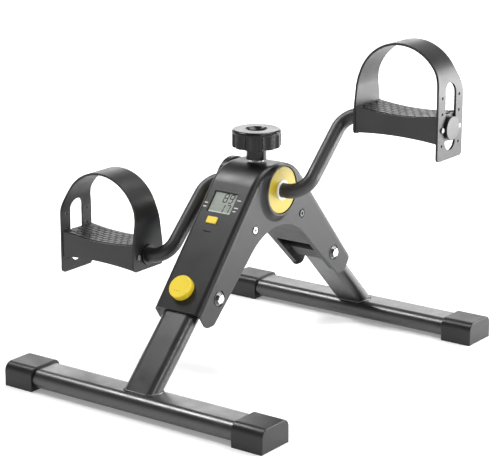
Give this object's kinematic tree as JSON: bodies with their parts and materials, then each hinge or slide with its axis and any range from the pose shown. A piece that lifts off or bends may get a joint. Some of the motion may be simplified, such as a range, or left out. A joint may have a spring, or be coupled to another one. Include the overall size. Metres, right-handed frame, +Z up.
{
  "type": "pedal exerciser",
  "caption": "Folding floor pedal exerciser: inverted-V housing with counter, tension knob, bent crank, strapped pedals and hinged legs on wide foot bars.",
  "frame": {"origin": "on the floor, under the middle of the housing, where the crank axis crosses the mid plane", "axes": "+X along the crank axis towards the pedal that is up, -Y towards the side with the counter, +Z up"},
  "size_m": [0.469, 0.53, 0.4276],
  "materials": {
    "shell_plastic": "satin black ABS",
    "cover_plastic": "fine-textured black ABS",
    "tube_steel": "gloss black enamel",
    "cap_plastic": "satin black moulding",
    "tread_plastic": "satin black moulding",
    "strap_plastic": "satin black flexible moulding",
    "yellow_plastic": "satin yellow moulding",
    "white_acetal": "natural acetal",
    "black_acetal": "black acetal",
    "bright_steel": "zinc plated",
    "chrome_steel": "polished",
    "dark_steel": "black oxide",
    "spring_steel": "bare spring wire",
    "knob_plastic": "satin black moulding",
    "pad_felt": "pressed felt",
    "clear_lens": "clear moulded window",
    "lcd_glass": "grey-green display",
    "board_green": "solder mask",
    "magnet": "nickel plated"
  },
  "bodies": {
    "housing": {"body_shell": "shell_plastic", "under_cover": "cover_plastic", "pivot_bolts": "chrome_steel", "pivot_nuts": "bright_steel", "pivot_washers": "dark_steel", "pivot_spacers": "bright_steel", "cross_spacers": "bright_steel", "front_cross_screw": "chrome_steel", "rear_cross_screw": "dark_steel", "left_hub_disc": "yellow_plastic", "right_hub_disc": "yellow_plastic", "crank_bushes": "white_acetal", "thread_insert": "bright_steel", "display_window": "clear_lens", "lcd_panel": "lcd_glass", "circuit_board": "board_green", "mode_switch": "black_acetal", "monitor_case": "cover_plastic", "case_screws": "bright_steel", "button_cell": "bright_steel", "reed_sensor": "cover_plastic"},
    "front_leg": {"front_foot_bar": "tube_steel", "front_leg_tube": "tube_steel", "front_left_end_cap": "cap_plastic", "front_right_end_cap": "cap_plastic", "front_leg_knuckle": "cover_plastic", "front_pivot_bush": "white_acetal"},
    "rear_leg": {"rear_foot_bar": "tube_steel", "rear_leg_tube": "tube_steel", "rear_left_end_cap": "cap_plastic", "rear_right_end_cap": "cap_plastic", "rear_leg_knuckle": "cover_plastic", "rear_pivot_bush": "white_acetal"},
    "crank": {"crank_tube": "tube_steel", "brake_drum": "dark_steel", "crank_collars": "dark_steel", "magnet_ring": "black_acetal", "crank_magnet": "magnet", "left_axle_cap": "black_acetal", "right_axle_cap": "black_acetal"},
    "left_pedal": {"left_tread": "tread_plastic", "left_toe_strap": "strap_plastic", "left_strap_screws": "bright_steel", "left_pedal_bushes": "black_acetal"},
    "right_pedal": {"right_tread": "tread_plastic", "right_toe_strap": "strap_plastic", "right_strap_screws": "bright_steel", "right_pedal_bushes": "black_acetal"},
    "brake": {"brake_shoe": "dark_steel", "brake_pad": "pad_felt"},
    "knob": {"tension_knob": "knob_plastic", "tension_screw": "bright_steel"},
    "mode_key": {"mode_button": "yellow_plastic"},
    "front_lock": {"front_lock_button": "yellow_plastic", "front_lock_ring": "bright_steel", "front_lock_spring": "spring_steel"},
    "rear_lock": {"rear_lock_button": "yellow_plastic", "rear_lock_ring": "bright_steel", "rear_lock_spring": "spring_steel"}
  },
  "joints": [
    {"name": "front_leg_fold", "type": "hinge", "parent": "housing", "child": "front_leg", "pos_m": [0, -0.1275, 0.123], "axis": [1, 0, 0], "range_deg": [0, 90]},
    {"name": "rear_leg_fold", "type": "hinge", "parent": "housing", "child": "rear_leg", "pos_m": [0, 0.1275, 0.123], "axis": [-1, 0, 0], "range_deg": [0, 90]},
    {"name": "crank_spin", "type": "hinge", "parent": "housing", "child": "crank", "pos_m": [0, 0, 0.236], "axis": [1, 0, 0], "continuous": true},
    {"name": "left_pedal_spin", "type": "hinge", "parent": "crank", "child": "left_pedal", "pos_m": [-0.168, -0.08976, 0.14686], "axis": [1, 0, 0], "continuous": true},
    {"name": "right_pedal_spin", "type": "hinge", "parent": "crank", "child": "right_pedal", "pos_m": [0.168, 0.08976, 0.32514], "axis": [1, 0, 0], "continuous": true},
    {"name": "brake_slide", "type": "slide", "parent": "housing", "child": "brake", "axis": [0, 0, -1], "range_m": [0, 0.0025]},
    {"name": "knob_turn", "type": "hinge", "parent": "brake", "child": "knob", "pos_m": [0, 0, 0.29], "axis": [0, 0, -1], "range_deg": [0, 720]},
    {"name": "mode_press", "type": "slide", "parent": "housing", "child": "mode_key", "axis": [0, 0.7593, -0.6508], "range_m": [0, 0.0008], "stiffness_N_per_m": 900},
    {"name": "front_lock_press", "type": "slide", "parent": "housing", "child": "front_lock", "axis": [0, 0.7593, -0.6508], "range_m": [0, 0.0022], "stiffness_N_per_m": 1200, "deforming": ["front_lock_spring"]},
    {"name": "rear_lock_press", "type": "slide", "parent": "housing", "child": "rear_lock", "axis": [0, -0.7593, -0.6508], "range_m": [0, 0.0022], "stiffness_N_per_m": 1200, "deforming": ["rear_lock_spring"]}
  ],
  "couplings": [
    {"joint": "brake_slide", "follows": "knob_turn", "m_per_rad": 0.00019894}
  ]
}
